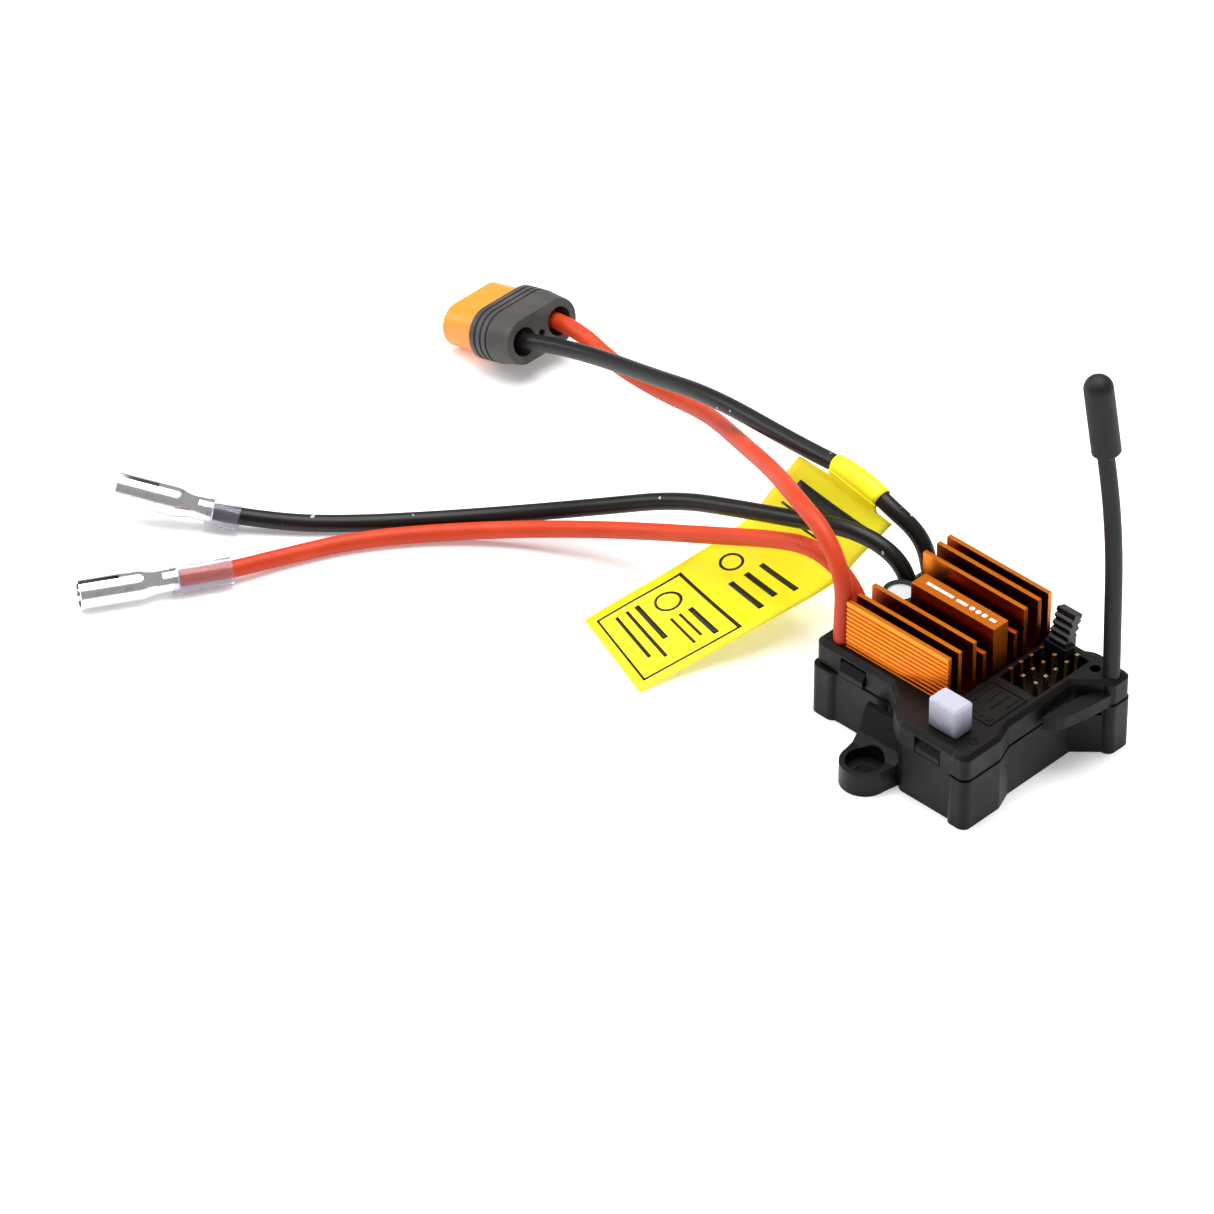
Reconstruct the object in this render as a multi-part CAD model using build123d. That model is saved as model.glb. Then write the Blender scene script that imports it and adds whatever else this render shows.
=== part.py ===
from build123d import *
import math
import os

os.makedirs("parts", exist_ok=True)

# Brushed electronic speed controller with a built-in radio receiver.
# Frame: origin at the middle of the case's flat base, +Z up, +X towards the switch and
# pin end, +Y towards the antenna side. The four wires leave at the -X end. Millimetres.

# ---- case -------------------------------------------------------------------------
SEAM_Z = 10.1              # where the cover meets the bottom shell
TOP_Z = 15.2               # top of the cover
WALL = 1.5                 # wall thickness of both shells
FLOOR = 1.6                # thickness of the bottom shell's floor
ROOF = 1.5                 # thickness of the cover's top
EDGE_R = 1.5               # rounding of the outline's corners
TOP_BEVEL = 0.8            # bevel round the cover's top edge
COVER_INSET = 0.15         # the cover's side stands back from the shell's by this
SEAM_GROOVE = 0.3          # shadow groove at the foot of the cover's side
REAR_X = -22.1             # rear wall
FRONT_X = 16.9             # recessed part of the front wall
RIGHT_Y = 18.3             # wall on the antenna side
LEFT_REAR_Y = -11.6        # wall beside the wires
LEFT_FRONT_Y = -17.8       # wall beside the switch
LEFT_OVERHANG = 0.7        # the cover stands out past those two walls
PILLARS = (                # corner pillars that stand proud: x0, x1, y0, y1
    (-22.5, -17.1, -12.3, -5.5),
    (13.9, 18.4, -18.6, -9.3),
    (17.6, 22.5, 13.4, 18.9),
    (-22.5, -17.1, 12.5, 18.9),
)
SNAP_WIDTH = 5.8           # width of a snap window and its tab
SNAP_LEFT = ((-13.5, LEFT_REAR_Y), (9.5, LEFT_FRONT_Y))
SNAP_RIGHT = ((-13.5, RIGHT_Y), (-1.5, RIGHT_Y))
LIP = 0.5                  # thickness of the shell's lip inside the cover
LIP_GAP = 0.05

LABEL_FIELD = (7.0, 15.0, -9.1, 0.5)     # raised frame on the cover: x0, x1, y0, y1
LABEL_LINE = 0.35
LABEL_HEIGHT = 0.25
LABEL_BARS = (5.2, 3.4, 4.6, 2.8)        # lengths of the raised bars in it
END_RING_XY = (15.6, -13.8)              # ring at the end of the switch's travel

# ---- mounting ears ----------------------------------------------------------------
EAR_R = 4.4
EAR_HOLE_R = 1.5
EAR_CBORE_R = 3.35
EAR_CBORE_Z = 2.2
EAR_RIM_Z = 4.4
LEFT_EAR = (-2.8, -20.0)
RIGHT_EAR = (7.0, 24.6)

# ---- boards -----------------------------------------------------------------------
BOARD_Z = 6.4              # underside of the main board
BOARD_T = 1.6
BOARD_TOP = BOARD_Z + BOARD_T
BOARD_GAP = 0.4            # board edge to the shell's inside

# ---- heat sink --------------------------------------------------------------------
SINK_X0, SINK_X1 = -16.85, 6.1
SINK_Y0, SINK_Y1 = -9.8, 16.2
SINK_BASE_Z = 10.6
SINK_UNDERCUT = 0.45       # the base stands back from the outer fin to clear the lip
SINK_FIN_Z = 13.6          # where the fins start
SINK_TOP = 24.8
LOW_FIN_TOP = 21.1
FIN_T = 0.85
FINS = (0.0, 2.6, 6.3, 19.05, 22.55, 25.15)   # full fins, from SINK_Y0
LOW_FINS = (8.85, 16.65)                      # short fins beside the platform
PLATFORM = (11.4, 15.0)                       # label platform, from SINK_Y0
SINK_NOTCH_X = -12.6                          # the platform and short fins stop here
NOTCH_Y = (-1.4, 8.2)                         # notch round the capacitor
RIB_PITCH = 0.9
RIB_DEPTH = 0.22
OPENING_GAP = 0.15

# ---- capacitor, switch, header ----------------------------------------------------
CAP_XY = (-16.0, 2.9)
CAP_R = 3.0
CAP_SLEEVE_T = 0.15
CAP_TOP = 20.5

KNOB_X = (6.9, 13.5)
KNOB_Y = (-15.75, -11.3)
KNOB_Z = (15.45, 21.0)
SWITCH_TRAVEL = 2.0
STEM = (2.4, 1.6)

PIN = 0.64
PIN_ROWS = (13.85, 11.05, 8.25)               # signal, power and ground rows
PIN_COLUMNS = (3.8, 6.34, 8.88, 11.7, 14.35)
PIN_TIP_Z = 16.8
HEADER_BASE_Z = BOARD_TOP + 2.5
POCKET = (7.2, 15.3, 2.2, 15.85)

JUMPER_BODY = (4.9, 2.5)
JUMPER_X = 9.85
JUMPER_Z = (HEADER_BASE_Z + 0.1, 17.2)
GRIP_LEAN = 20.0
GRIP_LENGTH = 6.8
GRIP_WIDTH = 3.8

BUTTON_XY = (17.35, 15.0)
BUTTON_HOLE_R = 0.95
BUTTON_TRAVEL = 0.3
LAMP_XY = (17.3, 11.9)
RECEIVER_Z = 3.4           # underside of the receiver's board

# ---- antenna ----------------------------------------------------------------------
ANTENNA_FOOT = (20.3, 15.9)
ANTENNA_TOP = (16.7, 12.5, 76.9)
ANTENNA_R = 1.5
ANTENNA_BORE_R = 1.0
ANTENNA_CAP_R = 2.55
ANTENNA_CAP_LENGTH = 15.8
ANTENNA_FOOT_Z = 10.6

# ---- wires ------------------------------------------------------------------------
WIRE_D = 3.1
WIRE_X = -18.7
WIRE_START_Z = 12.0
BATTERY_PLUS_Y, MOTOR_PLUS_Y, MOTOR_MINUS_Y, BATTERY_MINUS_Y = -8.7, -3.4, 8.3, 13.7

# ---- battery connector ------------------------------------------------------------
PLUG_LENGTH = 17.5
PLUG_PITCH = 15.0          # the wire end is lifted by this angle
PLUG_BACK = (-123.8, 25.9)
PLUG_WIRE_PITCH = 8.9
PLUG_HOUSING = (16.5, 8.2)
PLUG_CAP = (18.5, 10.0)
PLUG_CAP_BACK = (17.2, 8.6)
PLUG_CAP_LENGTH = 9.5
BULLET_R = 1.75
BULLET_DEPTH = 8.0

# ---- motor terminals --------------------------------------------------------------
TERMINAL_OD = 5.4
TERMINAL_ID = 4.2
TERMINAL_LENGTH = 16.4
CRIMP_OD = 4.2
SLEEVE_OD = 4.9
SLEEVE_T = 0.3
MOTOR_PLUS_END = (-118.5, -56.4, 2.7)
MOTOR_PLUS_AIM = (-0.51, -0.86, 0.0)
MOTOR_MINUS_END = (-128.5, -44.9, 2.45)
MOTOR_MINUS_AIM = (-0.81, -0.555, 0.19)
PLUS_SLEEVE, MINUS_SLEEVE = 10.7, 5.8

# ---- wire tag ---------------------------------------------------------------------
TAG_WIDTH = 23.0
TAG_T = 0.4
TAG_TOP_XY = (-37.6, 12.9)
# the slope as (distance over the floor, height), steep at first and then nearly flat
TAG_SLOPE = ((0, 26.0), (1.5, 21.5), (5.5, 12.5), (10.0, 8.5), (42.5, 0.5))
TAG_BENDS = (3.0, 4.0, 8.0)
TAG_ALONG_WIRE = (20.8, 33.8)   # stretch of wire that the neck covers

written = []


def save(shape, name):
    """Write one sub-part."""
    shape.label = name
    export_step(shape, f"parts/{name}.step")
    written.append(shape)


def box(x0, x1, y0, y1, z0, z1):
    """A block between two corners."""
    size = (x1 - x0, y1 - y0, z1 - z0)
    middle = ((x0 + x1) / 2, (y0 + y1) / 2, (z0 + z1) / 2)
    return Pos(*middle) * Box(*size)


def post(x, y, z0, z1, r):
    """An upright cylinder."""
    return Pos(x, y, (z0 + z1) / 2) * Cylinder(r, z1 - z0)


def pull(face, length):
    """A flat outline drawn out along its own +Z."""
    return extrude(face, length, dir=(0, 0, 1))


def prism(face, z0, z1):
    """A plan outline raised between two heights."""
    return Pos(0, 0, z0) * pull(face, z1 - z0)


# ---- the case's plan outline --------------------------------------------------------
def wall_outline():
    """Outline of the walls, with the step beside the switch and the front recess."""
    return Polygon(
        (REAR_X, LEFT_REAR_Y), (-5.2, LEFT_REAR_Y), (3.2, LEFT_FRONT_Y), (18.0, LEFT_FRONT_Y),
        (18.2, -9.3), (FRONT_X, -6.0), (FRONT_X, 9.7), (21.9, 14.4), (22.1, RIGHT_Y),
        (REAR_X, RIGHT_Y), align=None,
    )


def pillar_outline(x0, x1, y0, y1):
    return Pos((x0 + x1) / 2, (y0 + y1) / 2) * Rectangle(x1 - x0, y1 - y0)


def rounded(face, r):
    """Round the corners that point outwards."""
    smaller = offset(face, -r, kind=Kind.INTERSECTION)
    return offset(smaller, r, kind=Kind.ARC)


def overhang():
    """The cover runs straight past the recessed walls on its left side."""
    y0, y1 = LEFT_REAR_Y - LEFT_OVERHANG, LEFT_FRONT_Y - LEFT_OVERHANG
    return Polygon((REAR_X, y0), (-5.4, y0), (3.0, y1), (16.0, y1), (16.0, y1 + 3.0),
                   (REAR_X, y0 + 3.0), align=None)


pillared = wall_outline()
for pillar in PILLARS:
    pillared += pillar_outline(*pillar)
case_outline = rounded(pillared.face(), EDGE_R)
cover_outline = rounded((pillared + overhang()).face(), EDGE_R + COVER_INSET)
cover_outline = offset(cover_outline, -COVER_INSET, kind=Kind.ARC)
inner_outline = offset(wall_outline().face(), -WALL, kind=Kind.INTERSECTION)
lip_outer = offset(wall_outline().face(), -WALL - LIP_GAP, kind=Kind.INTERSECTION)
lip_inner = offset(wall_outline().face(), -WALL - LIP_GAP - LIP, kind=Kind.INTERSECTION)
board_outline = offset(wall_outline().face(), -WALL - BOARD_GAP - 0.7, kind=Kind.INTERSECTION)


def ear(x, y, wall_y, tower_z):
    """A mounting ear: round rim, sloping tower against the wall, counterbored hole."""
    out = math.copysign(1, y)
    plan = Pos(x, y) * Circle(EAR_R)
    plan += Polygon(
        (x - EAR_R, y), (x + EAR_R, y),
        (x + EAR_R + 1.4, wall_y), (x - EAR_R - 1.4, wall_y), align=None,
    )
    slope = Polygon(
        (wall_y, 0), (y + out * EAR_R, 0), (y + out * EAR_R, EAR_RIM_Z),
        (y - out * 2.2, EAR_RIM_Z), (y - out * 4.0, EAR_RIM_Z + 1.4),
        (wall_y + out * 1.3, tower_z), (wall_y, tower_z), align=None,
    )
    side = Plane.YZ.offset(x - 8) * pull(slope, 16)
    body = prism(plan, 0, tower_z) & side
    body -= post(x, y, EAR_CBORE_Z, tower_z + 1, EAR_CBORE_R)
    body -= post(x, y, -1, EAR_CBORE_Z + 1, EAR_HOLE_R)
    return body


def snap_tab(x, y):
    """A wedge on the lip that springs into a window of the cover."""
    out = math.copysign(1, y)
    root = y - out * (WALL + LIP_GAP + LIP)
    reach = WALL + LIP_GAP + LIP + (LEFT_OVERHANG if out < 0 else 0) - COVER_INSET
    profile = Polygon(
        (root, SEAM_Z + 0.4), (root + out * 0.5, SEAM_Z + 0.6), (root + out * reach, SEAM_Z + 0.7),
        (root + out * reach, SEAM_Z + 1.7), (root + out * (reach - 0.9), SEAM_Z + 3.2),
        (root + out * 0.8, SEAM_Z + 3.2), (root + out * 0.8, SEAM_Z + 1.3),
        (root, SEAM_Z + 1.2), align=None,
    )
    return Plane.YZ.offset(x - SNAP_WIDTH / 2 + 0.2) * pull(profile, SNAP_WIDTH - 0.4)


# ---- bottom shell -------------------------------------------------------------------
BOSSES = ((-17.5, -7.5), (-17.5, 14.5), (11.5, -13.2), (16.0, 13.0), (0.0, -8.0), (0.0, 14.5))


def bottom_shell():
    shell = prism(case_outline, 0, SEAM_Z)
    shell += ear(*LEFT_EAR, -12.6, SEAM_Z - 0.4)
    shell += ear(*RIGHT_EAR, RIGHT_Y - 0.6, SEAM_Z - 0.4)
    shell -= prism(inner_outline, FLOOR, SEAM_Z + 1)
    shell += prism(inner_outline - lip_inner, SEAM_Z - 1.6, SEAM_Z)
    shell += prism(lip_outer - lip_inner, SEAM_Z - 0.2, SEAM_Z + 1.2)
    # the lip stops where the wires, the header and the antenna stand close to the wall
    shell -= box(REAR_X + WALL, -17.0, -10.8, 16.0, BOARD_TOP, SEAM_Z + 2)
    shell -= box(14.3, FRONT_X - WALL, 1.5, 11.0, BOARD_TOP, SEAM_Z + 2)
    shell -= box(14.3, 22.1 - WALL, 11.0, RIGHT_Y - WALL, BOARD_TOP, SEAM_Z + 2)
    for x, y in BOSSES:
        shell += post(x, y, FLOOR - 0.1, BOARD_Z, 1.6)
    for x, y in SNAP_LEFT + SNAP_RIGHT:
        shell += snap_tab(x, y)
    return shell


# ---- top cover ----------------------------------------------------------------------
def clip_bar():
    """The bar beside the antenna that holds a lead against the front wall."""
    plan = Polygon(
        (18.9, 12.4), (22.0, 14.6), (21.3, 9.0), (20.3, 4.0), (19.6, 2.7),
        (17.6, 1.5), (17.5, 2.6), (18.3, 9.6), align=None,
    )
    return prism(plan, SEAM_Z, SEAM_Z + 2.5)


def top_cover():
    cover = prism(cover_outline, SEAM_Z + SEAM_GROOVE, TOP_Z - TOP_BEVEL)
    cover += prism(offset(cover_outline, -SEAM_GROOVE, kind=Kind.INTERSECTION),
                   SEAM_Z, SEAM_Z + SEAM_GROOVE)
    bevel = extrude(cover_outline, TOP_BEVEL, dir=(0, 0, 1), taper=45)
    cover += Pos(0, 0, TOP_Z - TOP_BEVEL) * bevel
    cover += clip_bar()
    cover -= prism(inner_outline, SEAM_Z - 1, TOP_Z - ROOF)
    cover -= box(SINK_X0 - OPENING_GAP, SINK_X1 + OPENING_GAP, SINK_Y0 - OPENING_GAP,
                 SINK_Y1 + OPENING_GAP, SEAM_Z, TOP_Z + 1)
    for y in (BATTERY_PLUS_Y, MOTOR_PLUS_Y, MOTOR_MINUS_Y, BATTERY_MINUS_Y):
        cover -= post(WIRE_X, y, SEAM_Z, TOP_Z + 1, WIRE_D / 2 + 0.1)
    cover -= post(*CAP_XY, SEAM_Z, TOP_Z + 1, CAP_R + CAP_SLEEVE_T + 0.15)
    cover -= box(*POCKET, SEAM_Z, TOP_Z + 1)
    stem_x = sum(KNOB_X) / 2
    stem_y = sum(KNOB_Y) / 2
    cover -= box(stem_x - STEM[0] / 2 - 0.2, stem_x + STEM[0] / 2 + SWITCH_TRAVEL + 0.2,
                 stem_y - STEM[1] / 2 - 0.2, stem_y + STEM[1] / 2 + 0.2, SEAM_Z, TOP_Z + 1)
    cover -= post(*BUTTON_XY, SEAM_Z, TOP_Z + 1, BUTTON_HOLE_R)
    cover -= post(*ANTENNA_FOOT, SEAM_Z - 1, TOP_Z + 1, ANTENNA_R + 0.1)
    cover += tower_cap()
    cover += label_relief()
    for x, y in SNAP_LEFT + SNAP_RIGHT:
        out = math.copysign(1, y)
        y_in, y_out = sorted((y - out * (WALL + 0.02), y + out * 2))
        cover -= box(x - SNAP_WIDTH / 2, x + SNAP_WIDTH / 2, y_in, y_out, SEAM_Z + 0.5, TOP_Z - 1.2)
    return cover


def label_relief():
    """A raised frame with plain bars between switch and header, and a ring beside the switch."""
    x0, x1, y0, y1 = LABEL_FIELD
    z0, z1 = TOP_Z - 0.1, TOP_Z + LABEL_HEIGHT
    marks = box(x0, x1, y0, y1, z0, z1)
    marks -= box(x0 + LABEL_LINE, x1 - LABEL_LINE, y0 + LABEL_LINE, y1 - LABEL_LINE, z0 - 1, z1 + 1)
    for i, length in enumerate(LABEL_BARS):
        x = x0 + 1.3 + i * (x1 - x0 - 2.6) / (len(LABEL_BARS) - 1)
        marks += box(x - 0.18, x + 0.18, y1 - 1.2 - length, y1 - 1.2, z0, z1 - 0.08)
        marks += box(x - 0.4, x + 0.4, y0 + 1.0, y0 + 1.8, z0, z1 - 0.08)
    x, y = END_RING_XY
    marks += post(x, y, z0, z1 - 0.08, 0.95) - post(x, y, z0 - 1, z1 + 1, 0.6)
    return marks


def tower_cap():
    """The rounded block over the far ear."""
    x, _ = RIGHT_EAR
    block = box(x - 2.2, x + 2.2, RIGHT_Y - 1.0, RIGHT_Y + 1.9, SEAM_Z, TOP_Z - 0.3)
    return fillet(block.edges().filter_by(Axis.Z).sort_by(Axis.Y)[-2:], 1.2)


# ---- boards and what is soldered to them ----------------------------------------------
def main_board():
    board = prism(board_outline, BOARD_Z, BOARD_TOP)
    for row in PIN_ROWS:
        for column in PIN_COLUMNS:
            board -= box(row - PIN / 2, row + PIN / 2, column - PIN / 2, column + PIN / 2,
                         BOARD_Z - 1, BOARD_TOP + 1)
    return board


def receiver_module():
    """The radio receiver: a small board under the main one, its chip and the pins between."""
    board = box(3.5, 14.6, -6.0, 12.0, RECEIVER_Z, RECEIVER_Z + 0.8)
    chip = box(6.5, 11.5, 0.0, 5.0, RECEIVER_Z - 0.9, RECEIVER_Z)
    pins = [box(13.4, 13.9, y, y + 0.5, RECEIVER_Z + 0.8, BOARD_Z)
            for y in (-5.0, -3.0, -1.0)]
    return board, chip, pins


def power_transistors():
    """Power transistors in two rows under the heat sink."""
    return [Pos(-10 + 5.6 * i, y, BOARD_TOP + 0.5) * Box(4.9, 5.8, 1.0)
            for i in range(3) for y in (-5.0, 11.9)]


def control_chips():
    """The microcontroller, the gate driver and the regulator under the main board."""
    return [Pos(x, y, BOARD_Z - 0.5) * Box(w, d, 1.0)
            for x, y, w, d in ((-4, 3, 7, 7), (-12, 4, 4, 5), (-6, 11, 5, 6))]


def header_bases():
    """Five three-pin strips of black insulator."""
    strips = []
    for column in PIN_COLUMNS:
        strip = box(PIN_ROWS[2] - 1.2, PIN_ROWS[0] + 1.2, column - 1.2, column + 1.2,
                    BOARD_TOP, HEADER_BASE_Z)
        for row in PIN_ROWS:
            strip -= Pos(row, column, HEADER_BASE_Z) * Box(PIN, PIN, 8)
        strips.append(strip)
    return strips


def header_pins():
    pins = []
    for row in PIN_ROWS:
        for column in PIN_COLUMNS:
            pin = box(row - PIN / 2, row + PIN / 2, column - PIN / 2, column + PIN / 2,
                      BOARD_Z - 0.8, PIN_TIP_Z)
            pins.append(chamfer(pin.faces().sort_by(Axis.Z)[-1].edges(), 0.15))
    return pins


# ---- heat sink ------------------------------------------------------------------------
def fin_outline(y0, y1, top, ribbed):
    """One fin in section, with fine ribs down its outer face."""
    points = [(y1, SINK_BASE_Z + 1), (y1, top), (y0, top)]
    if ribbed:
        count = int((top - SINK_FIN_Z - 0.8) / RIB_PITCH)
        for i in range(count):
            z = top - 0.8 - i * RIB_PITCH
            points += [(y0, z), (y0 + RIB_DEPTH, z - 0.15),
                       (y0 + RIB_DEPTH, z - 0.45), (y0, z - 0.6)]
    points.append((y0, SINK_BASE_Z + 1))
    return Polygon(*points, align=None)


def heatsink():
    section = Polygon((SINK_Y0 + SINK_UNDERCUT, SINK_BASE_Z), (SINK_Y1, SINK_BASE_Z),
                      (SINK_Y1, SINK_FIN_Z), (SINK_Y0 + SINK_UNDERCUT, SINK_FIN_Z), align=None)
    for y in FINS:
        section += fin_outline(SINK_Y0 + y, SINK_Y0 + y + FIN_T, SINK_TOP, y == FINS[0])
    for y in LOW_FINS:
        section += fin_outline(SINK_Y0 + y, SINK_Y0 + y + FIN_T, LOW_FIN_TOP, False)
    section += fin_outline(SINK_Y0 + PLATFORM[0], SINK_Y0 + PLATFORM[1], SINK_TOP, False)
    body = Plane.YZ.offset(SINK_X0) * pull(section, SINK_X1 - SINK_X0)
    body -= box(SINK_X0 - 1, SINK_NOTCH_X, *NOTCH_Y, SINK_BASE_Z - 1, SINK_TOP + 1)
    return body


# ---- capacitor --------------------------------------------------------------------------
def capacitor():
    x, y = CAP_XY
    can = post(x, y, BOARD_TOP, CAP_TOP - 0.35, CAP_R)
    can = fillet(can.edges().sort_by(Axis.Z)[-1], 0.5)
    sleeve = post(x, y, BOARD_TOP + 0.2, CAP_TOP, CAP_R + CAP_SLEEVE_T)
    sleeve -= post(x, y, BOARD_TOP - 1, CAP_TOP + 1, CAP_R)
    sleeve += post(x, y, CAP_TOP - 0.3, CAP_TOP, CAP_R + CAP_SLEEVE_T)
    sleeve -= post(x, y, CAP_TOP - 1, CAP_TOP + 1, CAP_R - 0.6)
    return can, sleeve


# ---- slide switch -------------------------------------------------------------------------
def slide_switch():
    """The switch's metal frame, its slider and the soft cap on the slider."""
    x, y = sum(KNOB_X) / 2, sum(KNOB_Y) / 2
    frame_x0, frame_x1 = x - 3.6, x + 3.6 + SWITCH_TRAVEL
    frame = box(frame_x0, frame_x1, y - 2.0, y + 2.0, BOARD_TOP, TOP_Z - ROOF - 0.1)
    frame -= box(frame_x0 + 0.8, frame_x1 - 0.8, y - 1.3, y + 1.3, BOARD_TOP + 1.2, 12.7)
    frame -= box(x - STEM[0] / 2 - 0.1, x + STEM[0] / 2 + SWITCH_TRAVEL + 0.1,
                 y - STEM[1] / 2 - 0.1, y + STEM[1] / 2 + 0.1, 12, TOP_Z)
    foot = box(x - 2.0, x + 2.0, y - 1.2, y + 1.2, BOARD_TOP + 1.3, 12.5)
    stem = box(x - STEM[0] / 2, x + STEM[0] / 2, y - STEM[1] / 2, y + STEM[1] / 2, 12, 19.2)
    slider = foot + stem
    cap = box(*KNOB_X, *KNOB_Y, *KNOB_Z)
    cap = fillet(cap.edges().filter_by(Axis.Z), 0.9)
    cap = chamfer(cap.faces().sort_by(Axis.Z)[-1].edges(), 0.5)
    cap -= stem
    return frame, slider, cap


# ---- jumper ---------------------------------------------------------------------------------
def jumper():
    """The pull-off jumper on two pins, with a ribbed grip that leans to the side."""
    x = JUMPER_X
    y = PIN_COLUMNS[-1]
    z0, z1 = JUMPER_Z
    body = box(x - JUMPER_BODY[0] / 2, x + JUMPER_BODY[0] / 2,
               y - JUMPER_BODY[1] / 2, y + JUMPER_BODY[1] / 2, z0, z1)
    grip = Box(GRIP_WIDTH, 1.5, GRIP_LENGTH, align=(Align.CENTER, Align.CENTER, Align.MIN))
    for i in range(4):
        z = 1.3 + i * 1.35
        for side in (-1, 1):
            grip += Pos(0, side * 0.9, z) * Rot(45, 0, 0) * Box(GRIP_WIDTH, 0.75, 0.75)
    grip += Pos(0, 0, GRIP_LENGTH - 0.4) * Box(GRIP_WIDTH + 0.3, 2.0, 0.8)
    body += Pos(x, y, z1 - 0.9) * Rot(-GRIP_LEAN, 0, 0) * grip
    body -= box(x - 2.15, x + 2.15, y - 0.85, y + 0.85, z0 - 1, PIN_TIP_Z + 0.1)
    body -= Pos(x, y, 14.4) * Rot(90, 0, 0) * Cylinder(0.55, 4)
    contact = box(x - 2.1, x + 2.1, y - 0.8, y + 0.8, z0 + 1.2, z0 + 5.0)
    for row in PIN_ROWS[1:]:
        contact -= Pos(row, y, z0) * Box(PIN + 0.12, PIN + 0.12, 20)
    return body, contact


# ---- bind button and lamp ---------------------------------------------------------------------
def power_inductor():
    """The choke of the receiver's supply, under the main board."""
    x, y = -8.0, -4.5
    core = post(x, y, BOARD_Z - 3.2, BOARD_Z, 2.9)
    return fillet(core.edges().sort_by(Axis.Z)[0], 0.5)


def bind_button():
    x, y = BUTTON_XY
    z0 = BOARD_TOP
    body = box(x - 1.4, x + 1.4, y - 1.5, y + 1.5, z0, z0 + 2.0)
    body -= post(x, y, z0 + 0.9, z0 + 3, 0.82)
    plunger = post(x, y, z0 + 1.0 + BUTTON_TRAVEL, TOP_Z - ROOF - 1.2, 0.75)
    return body, plunger


# ---- antenna ------------------------------------------------------------------------------------
def antenna():
    """The bowed antenna tube, the coaxial lead inside it and the soft cap on its tip."""
    foot = Vector(*ANTENNA_FOOT, ANTENNA_FOOT_Z)
    tip = Vector(*ANTENNA_TOP) - Vector(0, 0, 1.4)
    bend = Vector(foot.X - 0.6, foot.Y - 0.5, 46.0)
    path = FilletPolyline(foot, bend, tip, radius=200)
    tube = sweep(Plane(foot, z_dir=bend - foot) * Circle(ANTENNA_R), path=path)
    whole_tube = tube
    tube -= sweep(Plane(foot, z_dir=bend - foot) * Circle(ANTENNA_BORE_R), path=path)
    lead = sweep(Plane(foot, z_dir=bend - foot) * Circle(0.55), path=path)
    aim = (tip - bend).normalized()
    seat = Plane(Vector(*ANTENNA_TOP), z_dir=aim)
    cap = seat * Pos(0, 0, -ANTENNA_CAP_LENGTH / 2) * Cylinder(ANTENNA_CAP_R, ANTENNA_CAP_LENGTH)
    cap = fillet(cap.edges().sort_by(Axis.Z)[-1], ANTENNA_CAP_R - 0.15)
    cap = chamfer(cap.edges().sort_by(Axis.Z)[0], 0.6)
    cap -= whole_tube
    return tube, lead, cap


# ---- wires ------------------------------------------------------------------------------------------
BATTERY_PLUS_ROUTE = (
    (WIRE_X, BATTERY_PLUS_Y, WIRE_START_Z), (WIRE_X, BATTERY_PLUS_Y, 18.6), (-18.3, -8.8, 27.5),
    (-24.0, -7.4, 34.1), (-33.5, -4.4, 34.8), (-46.4, 3.9, 29.3), (-62.9, 13.3, 21.9),
    (-79.4, 22.4, 14.9), (-94.9, 26.8, 9.2), (-108.6, 28.8, 7.5), (-119.4, 30.3, 9.2),
    (-126.0, 30.35, 7.9),
)
BATTERY_MINUS_ROUTE = (
    (WIRE_X, BATTERY_MINUS_Y, WIRE_START_Z), (WIRE_X, BATTERY_MINUS_Y, 17.2), (-21.4, 13.9, 23.4),
    (-27.5, 12.2, 27.4), (-35.6, 13.2, 29.2), (-50.9, 13.7, 27.9), (-72.4, 16.0, 25.6),
    (-90.5, 19.2, 19.1), (-105.0, 22.0, 14.1), (-116.5, 22.3, 10.9), (-126.0, 21.45, 7.9),
)
MOTOR_PLUS_ROUTE = (
    (WIRE_X, MOTOR_PLUS_Y, WIRE_START_Z), (WIRE_X, MOTOR_PLUS_Y, 17.4), (-21.2, -3.5, 22.2),
    (-25.7, -3.7, 25.2), (-31.6, -3.9, 25.8), (-40.0, -4.0, 22.6), (-54.5, -3.9, 15.6),
    (-70.5, -5.2, 8.8), (-86.0, -10.6, 4.0), (-99.5, -21.0, 1.9), (-110.0, -34.0, 1.7),
    (-116.0, -47.2, 1.8), (-119.2, -57.6, 2.7), (-123.2, -64.3, 2.75),
)
MOTOR_MINUS_ROUTE = (
    (WIRE_X, MOTOR_MINUS_Y, WIRE_START_Z), (WIRE_X, MOTOR_MINUS_Y, 17.3), (-21.0, 7.7, 22.1),
    (-25.2, 6.6, 25.2), (-31.0, 5.3, 26.0), (-39.5, 4.0, 23.6), (-53.5, 3.1, 18.6),
    (-67.5, 1.8, 13.4), (-81.0, -3.2, 7.4), (-93.5, -10.8, 3.4), (-104.5, -21.0, 1.8),
    (-114.6, -32.2, 1.65), (-123.6, -41.0, 2.1), (-132.3, -47.5, 3.3),
)


def cord_path(points):
    """Straight runs joined by tangent arcs, each as large as its two runs allow."""
    route = [Vector(*point) for point in points]
    runs = [b - a for a, b in zip(route, route[1:])]
    radii = []
    for before, after in zip(runs, runs[1:]):
        turn = math.radians(before.get_angle(after))
        radii.append(0.45 * min(before.length, after.length) / math.tan(turn / 2))
    print("runs", [round(run.length, 1) for run in runs])
    print("radii", [round(r, 1) for r in radii])
    return FilletPolyline(*route, radius=radii)


def cord_tube(name, points):
    """One wire, with its insulation's outer diameter."""
    path = cord_path(points)
    start = Plane(path @ 0, z_dir=path % 0)
    tube = sweep(start * Circle(WIRE_D / 2), path=path)
    expected = math.pi * WIRE_D ** 2 / 4 * path.length
    print(name, f"length {path.length:.1f} mm, volume over section times length "
          f"{tube.volume / expected:.4f}")
    return tube


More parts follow.
